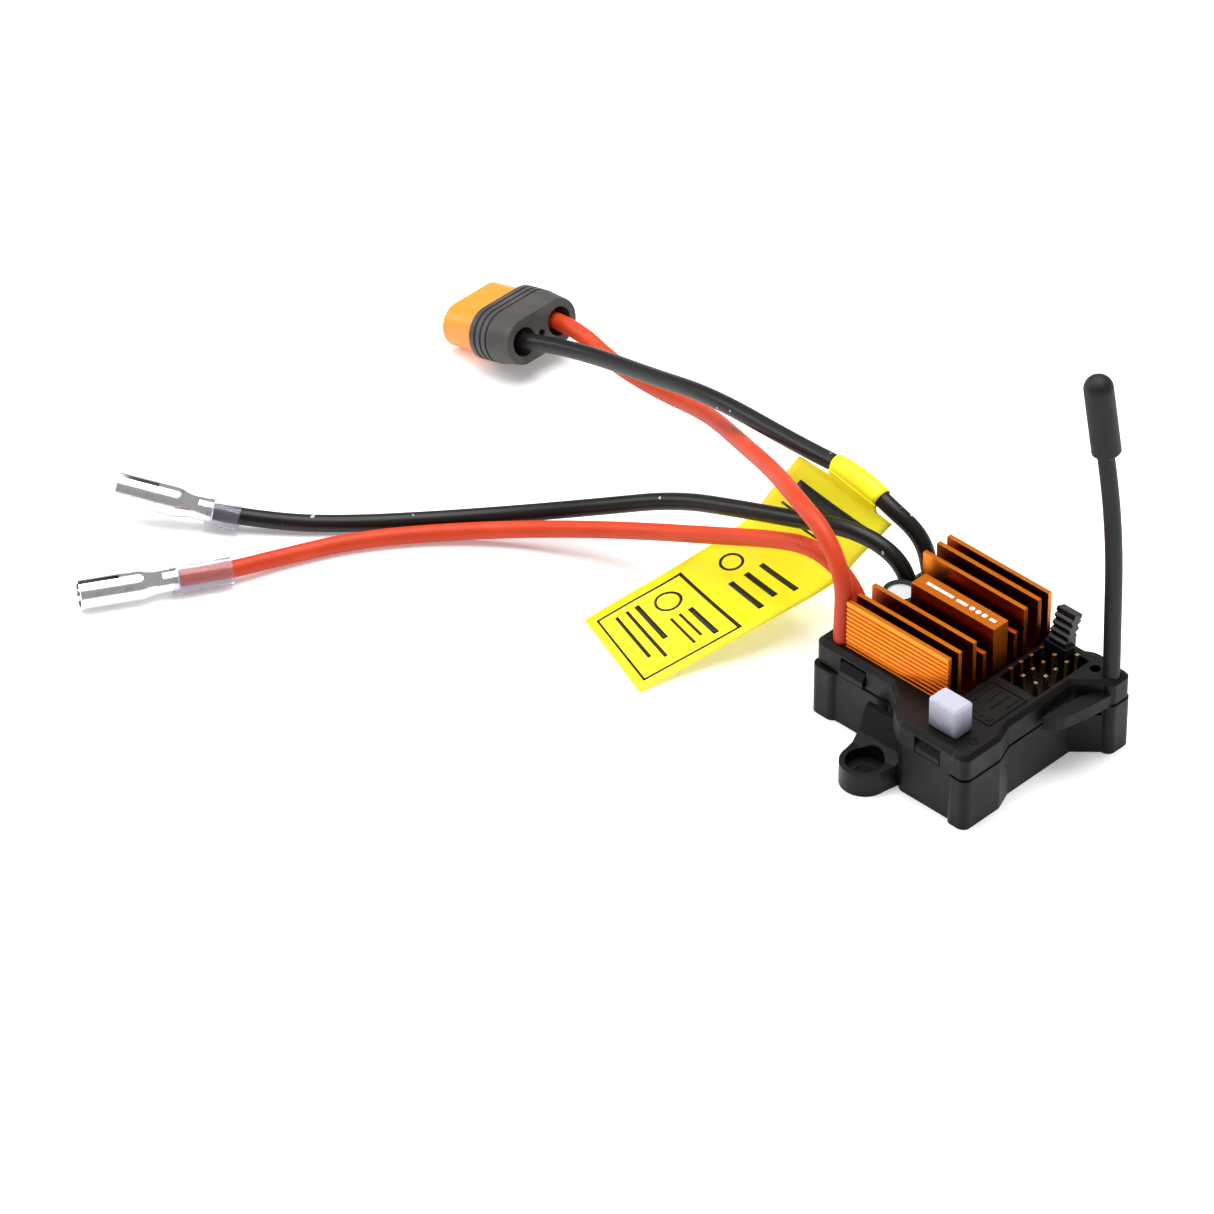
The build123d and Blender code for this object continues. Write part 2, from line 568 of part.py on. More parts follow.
def solder_joints():
    """Tinned copper where each wire stands on the board."""
    joints = []
    for y in (BATTERY_PLUS_Y, MOTOR_PLUS_Y, MOTOR_MINUS_Y, BATTERY_MINUS_Y):
        joints.append(Pos(WIRE_X, y, (BOARD_TOP + WIRE_START_Z) / 2)
                      * Cone(1.35, 1.0, WIRE_START_Z - BOARD_TOP))
    return joints


# ---- battery connector ------------------------------------------------------------------------------
def plug_frame():
    """Local frame of the connector: X along the wires' way in, from back face to mouth."""
    pitch = math.radians(PLUG_PITCH)
    height = PLUG_LENGTH * math.sin(pitch) + PLUG_HOUSING[1] / 2 * math.cos(pitch)
    return Plane((*PLUG_BACK, height), x_dir=(0, 1, 0),
                 z_dir=(-math.cos(pitch), 0, -math.sin(pitch)))


def stadium(width, height):
    return SlotOverall(width, height)


def battery_connector():
    frame = plug_frame()
    mouth = PLUG_LENGTH
    front = PLUG_CAP_LENGTH
    cap = loft([stadium(*PLUG_CAP_BACK), Pos(0, 0, 4.6) * stadium(*PLUG_CAP)])
    cap += Pos(0, 0, 4.6) * pull(stadium(*PLUG_CAP), front - 4.6)
    for i in range(3):
        ring = stadium(PLUG_CAP[0] + 2, PLUG_CAP[1] + 2)
        ring -= stadium(PLUG_CAP[0] - 0.7, PLUG_CAP[1] - 0.7)
        cap -= Pos(0, 0, 4.9 + i * 1.45) * pull(ring, 0.55)
    cap -= Pos(0, 0, 4.0) * pull(stadium(PLUG_HOUSING[0] - 1.6, PLUG_HOUSING[1] - 1.6), 20)
    for side in (-1, 1):
        cap -= Pos(side * PLUG_WIRE_PITCH / 2, 0, 2) * Cylinder(2.7, 6)
    cap -= Pos(0, 0.3, 2) * Cylinder(0.75, 6)
    housing = Pos(0, 0, front) * pull(stadium(*PLUG_HOUSING), mouth - front)
    housing += Pos(0, 0, 4.0) * pull(
        stadium(PLUG_HOUSING[0] - 1.7, PLUG_HOUSING[1] - 1.7), front - 4.0)
    housing += Pos(PLUG_HOUSING[0] / 2 - 0.3, 0, front) * pull(
        Rectangle(1.8, 3.0), mouth - front)
    contacts = []
    for side in (-1, 1):
        at = Pos(side * PLUG_WIRE_PITCH / 2, 0, 0)
        housing -= at * Pos(0, 0, 11) * Cylinder(2.3, 20)
        barrel = Pos(0, 0, 4.5) * pull(Circle(2.3), mouth - 5.0)
        barrel -= Pos(0, 0, mouth - 0.5 - BULLET_DEPTH) * pull(Circle(BULLET_R), 20)
        contacts.append(at * barrel)
    housing -= Pos(0, 0.3, 11) * Cylinder(0.6, 20)
    data = Pos(0, 0.3, 5.5) * pull(Circle(0.6), mouth - 7.5)
    return [frame * piece for piece in (cap, housing, data)] + [
        [frame * piece for piece in contacts]]


# ---- motor terminals ----------------------------------------------------------------------------------
def terminal_frame(end, aim):
    return Plane(end, x_dir=Vector(0, 0, 1).cross(Vector(*aim)), z_dir=aim)


def motor_terminal(end, aim, sleeve_length):
    """A tin-plated socket with a slot along its top, a neck and a crimp, and its sleeve."""
    frame = terminal_frame(end, aim)
    start = sleeve_length
    tip = start + TERMINAL_LENGTH
    barrel = Pos(0, 0, start + 5.5) * pull(Circle(TERMINAL_OD / 2), tip - start - 5.5)
    cone = Pos(0, 0, start + 4.2) * Cone(CRIMP_OD / 2, TERMINAL_OD / 2, 2.6)
    crimp = Pos(0, 0, start - 0.9) * pull(Circle(CRIMP_OD / 2), 5.2)
    body = barrel + cone + crimp
    body -= Pos(0, 0, start + 6.6) * pull(Circle(TERMINAL_ID / 2), 20)
    body -= Pos(0, TERMINAL_OD / 2, start + 13.0) * Box(0.9, TERMINAL_OD / 2 + 0.6, 7.6)
    body -= Pos(0, CRIMP_OD / 2, start + 3.4) * Box(4.4, 2.2, 3.4)
    sleeve = pull(Circle(SLEEVE_OD / 2), sleeve_length)
    sleeve -= Pos(0, 0, -1) * pull(Circle(SLEEVE_OD / 2 - SLEEVE_T), sleeve_length + 2)
    return frame * body, frame * sleeve


# ---- wire tag -------------------------------------------------------------------------------------------
def wire_tag():
    """A flag of plastic film that hangs from its neck and slopes down to the floor."""
    along = Vector(0.930, -0.367, 0)
    down_slope = Vector(-0.367, -0.930, 0)
    start = Vector(*TAG_TOP_XY, 0)
    side = Plane(start - along * (TAG_WIDTH / 2), x_dir=down_slope, z_dir=along)
    # in this plane local X runs down the slope, and local Y is upright
    up = math.copysign(1, side.y_dir.Z)
    line = FilletPolyline(*[(s, up * z) for s, z in TAG_SLOPE], radius=TAG_BENDS)
    return side * pull(trace(line, TAG_T), TAG_WIDTH)


def tag_wrap():
    """The neck of the tag, wrapped round the battery's negative wire."""
    path = cord_path(BATTERY_MINUS_ROUTE)
    start, end = TAG_ALONG_WIRE
    part = path.trim(start / path.length, end / path.length)
    ring = Circle(WIRE_D / 2 + 0.45) - Circle(WIRE_D / 2 + 0.05)
    return sweep(Plane(part @ 0, z_dir=part % 0) * ring, path=part)


save(bottom_shell(), "bottom_shell")
save(top_cover(), "top_cover")
save(main_board(), "main_circuit_board")
save(Compound(power_transistors()), "power_transistors")
save(Compound(control_chips()), "control_chips")
save(box(-14.0, 5.0, -8.4, 15.2, BOARD_TOP + 1.0, SINK_BASE_Z)
     - box(-16, SINK_NOTCH_X, *NOTCH_Y, BOARD_TOP, SINK_BASE_Z + 1), "thermal_pad")
save(heatsink(), "heatsink")
receiver_board, receiver_chip, link_pins = receiver_module()
save(receiver_board, "receiver_board")
save(receiver_chip, "receiver_chip")
save(Compound(link_pins), "board_link_pins")
save(power_inductor(), "power_inductor")
save(Pos(*LAMP_XY, BOARD_TOP + 0.35) * Box(1.6, 0.9, 0.7), "status_lamp")
can, sleeve = capacitor()
save(can, "capacitor_can")
save(sleeve, "capacitor_sleeve")
frame, slider, cap = slide_switch()
save(frame, "switch_frame")
save(slider, "switch_slider")
save(cap, "switch_cap")
save(Compound(header_bases()), "header_bases")
save(Compound(header_pins()), "header_pins")
jumper_body, jumper_contact = jumper()
save(jumper_body, "jumper_cap")
save(jumper_contact, "jumper_contact")
button_body, plunger = bind_button()
save(button_body, "bind_button_base")
save(plunger, "bind_button_plunger")
tube, lead, antenna_cap = antenna()
save(tube, "antenna_tube")
save(lead, "antenna_lead")
save(antenna_cap, "antenna_cap")
save(Compound(solder_joints()), "solder_joints")
for name, route in (
    ("battery_wire_positive", BATTERY_PLUS_ROUTE), ("battery_wire_negative", BATTERY_MINUS_ROUTE),
    ("motor_wire_positive", MOTOR_PLUS_ROUTE), ("motor_wire_negative", MOTOR_MINUS_ROUTE),
):
    save(cord_tube(name, route), name)
plug_cap, plug_housing, data_contact, bullet_sockets = battery_connector()
save(plug_cap, "connector_cap")
save(plug_housing, "connector_housing")
save(data_contact, "connector_data_contact")
save(Compound(bullet_sockets), "connector_sockets")
for side, end, aim, length in (
    ("positive", MOTOR_PLUS_END, MOTOR_PLUS_AIM, PLUS_SLEEVE),
    ("negative", MOTOR_MINUS_END, MOTOR_MINUS_AIM, MINUS_SLEEVE),
):
    terminal, sleeve = motor_terminal(end, aim, length)
    save(terminal, f"motor_terminal_{side}")
    save(sleeve, f"terminal_sleeve_{side}")
save(wire_tag(), "wire_tag")
save(tag_wrap(), "wire_tag_wrap")

whole = Compound(written).bounding_box()
print("nodes", len(written), "size", [round(v, 1) for v in tuple(whole.size)])
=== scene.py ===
# %% [markdown]
# # An electronic speed controller for a model car
#
# The object is a black snap-together case with an orange heat sink, a slide switch, a header
# for servo plugs, an antenna and four silicone wires. Its shape and sizes come from a CAD
# model, which is loaded as a fixed frame. This script gives every part its finish, softens
# the moulded edges, and makes what CAD leaves plain: the wires, the film tag and the prints.
# %% Load the frame
import math

import bmesh
import bpy
import numpy as np
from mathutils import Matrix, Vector


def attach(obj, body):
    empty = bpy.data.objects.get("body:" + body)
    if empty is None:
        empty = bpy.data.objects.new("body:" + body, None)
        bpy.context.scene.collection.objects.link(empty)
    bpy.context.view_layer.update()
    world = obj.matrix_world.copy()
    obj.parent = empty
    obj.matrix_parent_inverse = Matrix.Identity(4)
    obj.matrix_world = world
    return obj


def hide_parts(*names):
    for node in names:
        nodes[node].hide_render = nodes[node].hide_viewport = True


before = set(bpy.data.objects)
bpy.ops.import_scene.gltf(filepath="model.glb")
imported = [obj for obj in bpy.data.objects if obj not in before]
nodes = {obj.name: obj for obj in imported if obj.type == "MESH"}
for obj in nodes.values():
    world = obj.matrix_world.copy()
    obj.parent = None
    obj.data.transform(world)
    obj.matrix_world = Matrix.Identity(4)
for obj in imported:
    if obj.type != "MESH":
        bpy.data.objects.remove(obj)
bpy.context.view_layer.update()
MM = 0.001

# %% [markdown]
# The camera stands far away with a long lens, so that parallel edges stay nearly parallel, as
# in a catalogue picture. It is placed by an angle round the object, an angle above the floor
# and a distance from a point between the case and the connector.
# %% Camera
AZIMUTH, ELEVATION = math.radians(44.1), math.radians(37.9)
DISTANCE = 1.288
AIM = Vector((-51.7, -31.7, 17.0)) * MM
LENS, SENSOR = 225.4, 36.0       # focal length and sensor width in millimetres
NEAR, FAR = 0.05, 20.0


def stand_camera():
    """A long-lens camera that looks at the aim point."""
    back = Vector((math.sin(AZIMUTH) * math.cos(ELEVATION),
                   -math.cos(AZIMUTH) * math.cos(ELEVATION), math.sin(ELEVATION)))
    data = bpy.data.cameras.new("camera")
    data.lens, data.sensor_width = LENS, SENSOR
    data.clip_start, data.clip_end = NEAR, FAR
    camera = bpy.data.objects.new("camera", data)
    bpy.context.collection.objects.link(camera)
    camera.location = AIM + back * DISTANCE
    camera.rotation_mode = "QUATERNION"
    camera.rotation_quaternion = (-back).to_track_quat("-Z", "Y")
    bpy.context.scene.camera = camera
    return camera


print("camera at", [round(v, 3) for v in stand_camera().location])

# %% [markdown]
# The light is that of a white product table: a large soft panel overhead, a weaker one from
# the left front, and a bright even surround that the floor and the glossy parts pick up. The
# plain tone curve keeps the orange and the yellow as strong as they are in daylight.
# %% Light and floor
PANELS = (                       # name, place, size and power in watts
    ("overhead_panel", (-0.12, 0.10, 0.95), 0.85, 15.0),
    ("left_panel", (-0.85, -0.45, 0.60), 0.45, 4.5),
)
SURROUND = 0.35                  # strength of the even white light from all round


def hang_panel(name, place, size, power):
    """A square soft light that faces the object."""
    data = bpy.data.lights.new(name, "AREA")
    data.shape, data.size, data.energy = "SQUARE", size, power
    lamp = bpy.data.objects.new(name, data)
    bpy.context.collection.objects.link(lamp)
    lamp.location = place
    lamp.rotation_mode = "QUATERNION"
    lamp.rotation_quaternion = (AIM - lamp.location).to_track_quat("-Z", "Y")
    return lamp


for panel in PANELS:
    hang_panel(*panel)
world = bpy.data.worlds.new("surround")
world.use_nodes = True
world.node_tree.nodes["Background"].inputs["Color"].default_value = (1.0, 1.0, 1.0, 1.0)
world.node_tree.nodes["Background"].inputs["Strength"].default_value = SURROUND
bpy.context.scene.world = world
bpy.context.scene.view_settings.view_transform = "Standard"
print("panels", len(PANELS))

# %% [markdown]
# Finishes are written as sums. A small class wraps a node's output socket, so that an
# expression such as `0.5 + 0.2 * grain` adds the Math nodes it needs. Any other node comes
# from its one method `node`, which sets the node's own settings first and then its sockets.
# %% The shader helper


class Flow:
    """A value, colour or vector that flows out of a node's socket."""

    def __init__(self, tree, socket=None):
        self.tree, self.socket = tree, socket

    def node(self, kind, settings=None, sockets=None, out=0):
        """Add one node, set it up, feed its sockets, and give one of its outputs."""
        made = self.tree.nodes.new(kind)
        for name, value in (settings or {}).items():
            setattr(made, name, value)
        for name, value in (sockets or {}).items():
            self._feed(self._find(made.inputs, name), value)
        return Flow(self.tree, self._find(made.outputs, out))

    @staticmethod
    def _find(sockets, name):
        if isinstance(name, int):
            return sockets[name]
        by_identifier = [s for s in sockets if s.identifier == name]
        return by_identifier[0] if by_identifier else sockets[name]

    def _feed(self, socket, value):
        if isinstance(value, Flow):
            self.tree.links.new(value.socket, socket)
        elif isinstance(value, (tuple, list)) and len(socket.default_value) == 4:
            socket.default_value = (*value[:3], 1.0)
        else:
            socket.default_value = value

    def math(self, operation, *values):
        return self.node("ShaderNodeMath", {"operation": operation}, dict(enumerate(values)))

    def __add__(self, other):
        return self.math("ADD", self, other)

    __radd__ = __add__

    def __mul__(self, other):
        return self.math("MULTIPLY", self, other)

    __rmul__ = __mul__

    def __sub__(self, other):
        return self.math("SUBTRACT", self, other)

    def __rsub__(self, other):
        return self.math("SUBTRACT", other, self)


print("shader helper ready")

# %% [markdown]
# A finish starts from the standard surface shader with its constants set on its own sockets.
# Four small helpers cover most of what varies over a surface: noise in object space, with its
# size given in millimetres, a blend of two colours, a clamp, and a bump.
# %% Finish helpers


def finish(name, **constants):
    """A new material, with constants on the shader's own sockets."""
    material = bpy.data.materials.new(name)
    material.use_nodes = True
    tree = material.node_tree
    shader = tree.nodes["Principled BSDF"]
    flow = Flow(tree)
    for key, value in constants.items():
        flow._feed(shader.inputs[key.replace("_", " ")], value)
    place = flow.node("ShaderNodeTexCoord", out="Object")
    return material, shader, place


def link(shader, name, flow):
    """Feed one of the shader's sockets."""
    flow.tree.links.new(flow.socket, shader.inputs[name])


def grain(place, size_mm, detail=2.0, stretch=(1.0, 1.0, 1.0)):
    """Noise between 0 and 1 whose blobs are about size_mm across."""
    scaled = place.node("ShaderNodeMapping", {}, {"Vector": place, "Scale": stretch})
    return place.node("ShaderNodeTexNoise", {},
                      {"Vector": scaled, "Scale": 1.0 / (size_mm * MM), "Detail": detail})


def steps(value, low, high):
    """0 below low, 1 above high, and a straight rise between."""
    return value.node("ShaderNodeMapRange", {}, {"Value": value, "From Min": low, "From Max": high})


def blend(mask, dark, light):
    """One of two colours, by a mask."""
    return mask.node("ShaderNodeMix", {"data_type": "RGBA"},
                     {"Factor_Float": mask, "A_Color": dark, "B_Color": light}, "Result_Color")


def relief(shader, height, depth_mm, edge_mm=0.0):
    """Bump the surface by a height between 0 and 1, on edges softened to a small radius."""
    sockets = {"Height": height, "Distance": depth_mm * MM}
    if edge_mm:
        sockets["Normal"] = height.node("ShaderNodeBevel", {"samples": 4},
                                        {"Radius": edge_mm * MM}, "Normal")
    link(shader, "Normal", height.node("ShaderNodeBump", {}, sockets, "Normal"))


print("finish helpers ready")

# %% [markdown]
# **Moulded black plastic.** The case is glass-filled nylon from a spark-eroded mould: nearly
# black, dull, with a fine even grain. Where fingers and screws have been it is a little
# smoother and greyer, so broad noise shifts its colour and its gloss by a few per cent.
# %% Case plastic


def moulded_plastic(name, colour, rub, rough, grain_mm=0.22, depth_mm=0.035, shine=0.3,
                    edge_mm=0.25):
    material, shader, place = finish(name, Specular_IOR_Level=shine)
    fine = grain(place, grain_mm, 3.0)
    broad = grain(place, 6.0, 4.0)
    rubbed = steps(broad, 0.45, 0.75)
    link(shader, "Base Color", blend(rubbed, colour, rub))
    link(shader, "Roughness", rough - 0.12 * rubbed + 0.1 * (fine - 0.5))
    relief(shader, fine, depth_mm, edge_mm)
    return material


case_black = moulded_plastic("case_black", (0.0028, 0.0023, 0.0020), (0.0068, 0.0057, 0.0050), 0.46,
                             shine=0.17)
nylon_black = moulded_plastic("nylon_black", (0.003, 0.003, 0.003), (0.006, 0.006, 0.006), 0.42,
                              0.3, 0.006)
cap_grey = moulded_plastic("connector_grey", (0.052, 0.049, 0.047), (0.078, 0.075, 0.071), 0.55,
                           0.22, 0.03)
print("plastics", case_black.name, nylon_black.name, cap_grey.name)

# %% [markdown]
# ** Anodised aluminium.** The dye makes the metal's own reflection orange. It is a full metal
# with an orange base colour. Where the fins close each other in, painted shade turns the base
# colour dark red-brown; the die leaves very fine lines along X, as bump and as gloss.
# %% Anodised orange


def anodised_orange():
    material, shader, place = finish("anodised_orange", Metallic=1.0)
    die_lines = grain(place, 0.09, 2.0, (0.01, 1.0, 1.0))
    cloud = grain(place, 5.0, 3.0)
    # painted shade: ambient occlusion darkens the base colour where the fins close each other in
    painted_shade_mask = steps(place.node("ShaderNodeAmbientOcclusion", {"samples": 8},
                                {"Distance": 5.0 * MM}, "AO"), 0.40, 0.97)
    bright = blend(cloud, (0.90, 0.20, 0.012), (1.0, 0.29, 0.024))
    # dark red-brown painted shade in the gaps, orange where the surface is open
    link(shader, "Base Color", blend(painted_shade_mask, (0.20, 0.018, 0.003), bright))
    link(shader, "Roughness", 0.24 + 0.10 * die_lines)
    relief(shader, die_lines, 0.003, 0.1)
    return material


heatsink_orange = anodised_orange()
print("anodised", heatsink_orange.name)

# %% [markdown]
# **Plated metals.** The header pins and bullet sockets are gold plated, the motor terminals
# are tinned brass. Both are metals with a hint of wavy plating and a few fine draw marks.
# %% Plated metals


def plated(name, colour, tarnish, rough):
    material, shader, place = finish(name, Metallic=1.0)
    waves = grain(place, 1.6, 3.0)
    link(shader, "Base Color", blend(steps(waves, 0.5, 0.8), colour, tarnish))
    link(shader, "Roughness", rough + 0.12 * waves)
    relief(shader, waves, 0.01)
    return material


gold = plated("gold_plate", (1.0, 0.72, 0.36), (0.86, 0.56, 0.25), 0.14)
tin = plated("bright_tin", (0.86, 0.86, 0.88), (0.66, 0.66, 0.69), 0.12)
steel = plated("switch_steel", (0.62, 0.62, 0.62), (0.5, 0.5, 0.5), 0.3)
can_aluminium = plated("capacitor_aluminium", (0.93, 0.93, 0.94), (0.84, 0.84, 0.86), 0.3)
print("metals", gold.name, tin.name)

# %% [markdown]
# **Silicone insulation.** It is soft and slightly dull, picks up dust, and glows a little at
# its edges because light enters it. A low sheen, some subsurface scatter in the red, and a
# very fine powdery grain give that; a few pale specks of dust lie on the black.
# %% Silicone


def silicone(name, colour, worn, scatter, rough, dust=False):
    material, shader, place = finish(
        name, Subsurface_Weight=scatter, Subsurface_Radius=(0.002, 0.0006, 0.0003),
        Subsurface_Scale=1.0, Specular_IOR_Level=0.3)
    powder = grain(place, 0.35, 3.0)
    patches = grain(place, 7.0, 3.0)
    skin = blend(steps(patches, 0.35, 0.75), colour, worn)
    if dust:
        skin = blend(steps(grain(place, 1.3, 0.0), 0.83, 0.86), skin, (0.45, 0.44, 0.42))
    link(shader, "Base Color", skin)
    link(shader, "Roughness", rough + 0.14 * powder)
    relief(shader, powder, 0.008)
    return material


red_silicone = silicone("red_silicone", (0.50, 0.036, 0.005), (0.58, 0.048, 0.008), 0.05, 0.42)
black_silicone = silicone("black_silicone", (0.0038, 0.0034, 0.0030), (0.0070, 0.0062, 0.0056),
                          0.0, 0.34, dust=True)
antenna_rubber = silicone("antenna_rubber", (0.0060, 0.0060, 0.0064), (0.011, 0.011, 0.0115), 0.0,
                          0.5)
print("silicones", red_silicone.name, black_silicone.name)

# %% [markdown]
# **Clear and bright plastics.** The battery connector's housing is glossy orange nylon. The
# switch's cap is milky silicone that lets light through, and the sleeves over the crimps are
# thin clear vinyl. Light has to go through both, so they transmit instead of being painted.
# %% Clear and bright plastics


KNOB_DARK_FOOT_Z, KNOB_PALE_TOP_Z = 15.0, 20.8   # the cap's base colour is dark at its foot and pale at its top, heights in millimetres


def bright_nylon():
    material, shader, place = finish(
        "connector_orange", Subsurface_Weight=0.15, Subsurface_Radius=(0.003, 0.001, 0.0004),
        Subsurface_Scale=1.0)
    flow_marks = grain(place, 2.2, 3.0)
    link(shader, "Base Color", blend(flow_marks, (1.0, 0.235, 0.013), (1.0, 0.295, 0.022)))
    link(shader, "Roughness", 0.30 + 0.14 * flow_marks)
    relief(shader, flow_marks, 0.008)
    return material


def milky_silicone():
    material, shader, place = finish(
        "milky_silicone", Transmission_Weight=0.35, IOR=1.42, Subsurface_Weight=0.2,
        Subsurface_Radius=(0.002, 0.002, 0.0025), Subsurface_Scale=1.0)
    haze = grain(place, 1.1, 4.0)
    height = place.node("ShaderNodeSeparateXYZ", {}, {"Vector": place}, "Z")
    # the base colour is darker towards the cap's foot and paler towards its top, by height
    foot_to_top_share = steps(height + 0.0025 * (haze - 0.5), KNOB_DARK_FOOT_Z * MM, KNOB_PALE_TOP_Z * MM)
    link(shader, "Base Color", blend(foot_to_top_share, (0.12, 0.13, 0.18), (0.66, 0.66, 0.80)))
    link(shader, "Roughness", 0.22 + 0.25 * haze)
    relief(shader, haze, 0.03, 0.35)
    return material


def clear_vinyl():
    material, shader, place = finish("clear_vinyl", Transmission_Weight=0.95, IOR=1.3)
    haze = grain(place, 1.5, 3.0)
    link(shader, "Base Color", blend(haze, (0.80, 0.78, 0.88), (0.90, 0.88, 0.95)))
    link(shader, "Roughness", 0.06 + 0.1 * haze)
    relief(shader, haze, 0.02)
    return material


connector_orange = bright_nylon()
switch_milky = milky_silicone()
sleeve_clear = clear_vinyl()
print("plastics", connector_orange.name, switch_milky.name, sleeve_clear.name)

# %% [markdown]
# **Boards and packages.** They are nearly all hidden, but can be glimpsed down the wire holes
# and the header's pocket: green solder mask, dark epoxy, grey thermal pad.
# %% Inner finishes
board_green = moulded_plastic("solder_mask", (0.006, 0.05, 0.018), (0.01, 0.075, 0.03), 0.35)
epoxy = moulded_plastic("epoxy", (0.012, 0.012, 0.013), (0.02, 0.02, 0.021), 0.5)
pad_grey = moulded_plastic("pad_grey", (0.30, 0.31, 0.34), (0.38, 0.39, 0.42), 0.7)
sleeve_green = moulded_plastic("capacitor_film", (0.006, 0.016, 0.013), (0.012, 0.028, 0.024),
                               0.25, 1.0, 0.004)
print("inner finishes ready")

# %% [markdown]
# Each CAD part keeps its shape and gets one of the finishes on all its material slots. The
# parts are listed by what they are made of, as on a maker's parts list.
# %% Finishes on the CAD parts
PARTS_BY_FINISH = (
    (case_black, ("bottom_shell", "top_cover", "switch_frame", "bind_button_base")),
    (heatsink_orange, ("heatsink",)),
    (gold, ("header_pins", "jumper_contact", "connector_sockets", "connector_data_contact",
            "board_link_pins")),
    (tin, ("motor_terminal_positive", "motor_terminal_negative", "solder_joints")),
    (steel, ("switch_slider",)),
    (switch_milky, ("switch_cap",)),
    (nylon_black, ("header_bases", "jumper_cap", "bind_button_plunger", "power_inductor")),
    (antenna_rubber, ("antenna_tube", "antenna_cap", "antenna_lead")),
    (cap_grey, ("connector_cap",)),
    (connector_orange, ("connector_housing",)),
    (sleeve_clear, ("terminal_sleeve_positive", "terminal_sleeve_negative", "status_lamp")),
    (can_aluminium, ("capacitor_can",)),
    (sleeve_green, ("capacitor_sleeve",)),
    (board_green, ("main_circuit_board", "receiver_board")),
    (epoxy, ("power_transistors", "control_chips", "receiver_chip")),
    (pad_grey, ("thermal_pad",)),
)


def paint(names, material):
    """Give these CAD parts a material on every slot."""
    for name in names:
        data = nodes[name].data
        for index in range(len(data.materials)):
            data.materials[index] = material


for material, names in PARTS_BY_FINISH:
    paint(names, material)
painted = {name for _, names in PARTS_BY_FINISH for name in names}
print("painted", len(painted), "left for later", sorted(set(nodes) - painted))

# %% [markdown]
# **The wires.** Four silicone leads of 16 gauge leave the cover's rear corner straight up and
# bend over to the left. A wire is one smooth spline of degree two that is pulled towards a
# handful of points, as a soft lead relaxes between its ends, with a round section along it.
# %% Wires
WIRE_D = 3.1 * MM
WIRE_STEPS, WIRE_ROUND = 16, 6   # points between knots, and fineness of the round section
WIRES = {
    "battery_wire_positive": (
        (-18.7, -8.7, 12.0), (-18.7, -8.7, 18.6), (-18.3, -8.8, 27.5), (-24.0, -7.4, 34.1),
        (-33.5, -4.4, 34.8), (-46.4, 3.9, 29.3), (-62.9, 13.3, 21.9), (-79.4, 22.4, 14.9),
        (-94.9, 26.8, 9.2), (-108.6, 28.8, 7.5), (-119.4, 30.3, 9.2), (-126.0, 30.35, 7.9)),
    "battery_wire_negative": (
        (-18.7, 13.7, 12.0), (-18.7, 13.7, 17.2), (-21.4, 13.9, 23.4), (-27.5, 12.2, 27.4),
        (-35.6, 13.2, 29.2), (-50.9, 13.7, 27.9), (-72.4, 16.0, 25.6), (-90.5, 19.2, 19.1),
        (-105.0, 22.0, 14.1), (-116.5, 22.3, 10.9), (-126.0, 21.45, 7.9)),
    "motor_wire_positive": (
        (-18.7, -3.4, 12.0), (-18.7, -3.4, 17.4), (-21.2, -3.5, 22.2), (-25.7, -3.7, 25.2),
        (-31.6, -3.9, 25.8), (-40.0, -4.0, 22.6), (-54.5, -3.9, 15.6), (-70.5, -5.2, 8.8),
        (-86.0, -10.6, 4.0), (-99.5, -21.0, 1.9), (-110.0, -34.0, 1.7), (-116.0, -47.2, 1.8),
        (-119.2, -57.6, 2.7), (-123.2, -64.3, 2.75)),
    "motor_wire_negative": (
        (-18.7, 8.3, 12.0), (-18.7, 8.3, 17.3), (-20.7, 7.8, 21.4), (-24.8, 6.8, 23.9),
        (-31.0, 5.5, 24.5), (-39.5, 4.0, 22.4), (-53.5, 3.1, 18.0), (-67.5, 1.8, 13.4),
        (-81.0, -3.2, 7.4), (-93.5, -10.8, 3.4), (-104.5, -21.0, 1.8), (-114.6, -32.2, 1.65),
        (-123.6, -41.0, 2.1), (-132.3, -47.5, 3.3)),
}


def spline_curve(name, points, width=0.0):
    """A curve object whose one spline is pulled towards these points, in millimetres."""
    curve = bpy.data.curves.new(name, "CURVE")
    curve.dimensions, curve.resolution_u = "3D", WIRE_STEPS
    curve.bevel_depth, curve.bevel_resolution = width / 2, WIRE_ROUND
    curve.use_fill_caps = True
    spline = curve.splines.new("NURBS")
    spline.points.add(len(points) - 1)
    for knot, point in zip(spline.points, points):
        knot.co = (*(v * MM for v in point), 1.0)
    spline.order_u, spline.use_endpoint_u = 3, True
    made = bpy.data.objects.new(name, curve)
    bpy.context.collection.objects.link(made)
    return made


def centreline(points):
    """Close points along the wire's own smooth line, in metres."""
    guide = spline_curve("guide", points)
    mesh = bpy.data.meshes.new_from_object(guide)
    line = [v.co.copy() for v in mesh.vertices]
    bpy.data.objects.remove(guide)
    bpy.data.meshes.remove(mesh)
    return line


def run_length(line):
    return sum((b - a).length for a, b in zip(line, line[1:]))


wires, lines = {}, {}
for name, points in WIRES.items():
    wire = spline_curve(name + "_lead", points, WIRE_D)
    wire.data.materials.append(red_silicone if "positive" in name else black_silicone)
    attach(wire, "root")
    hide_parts(name)
    wires[name], lines[name] = wire, centreline(points)
    print(name, round(run_length(lines[name]) / MM, 1), "mm")

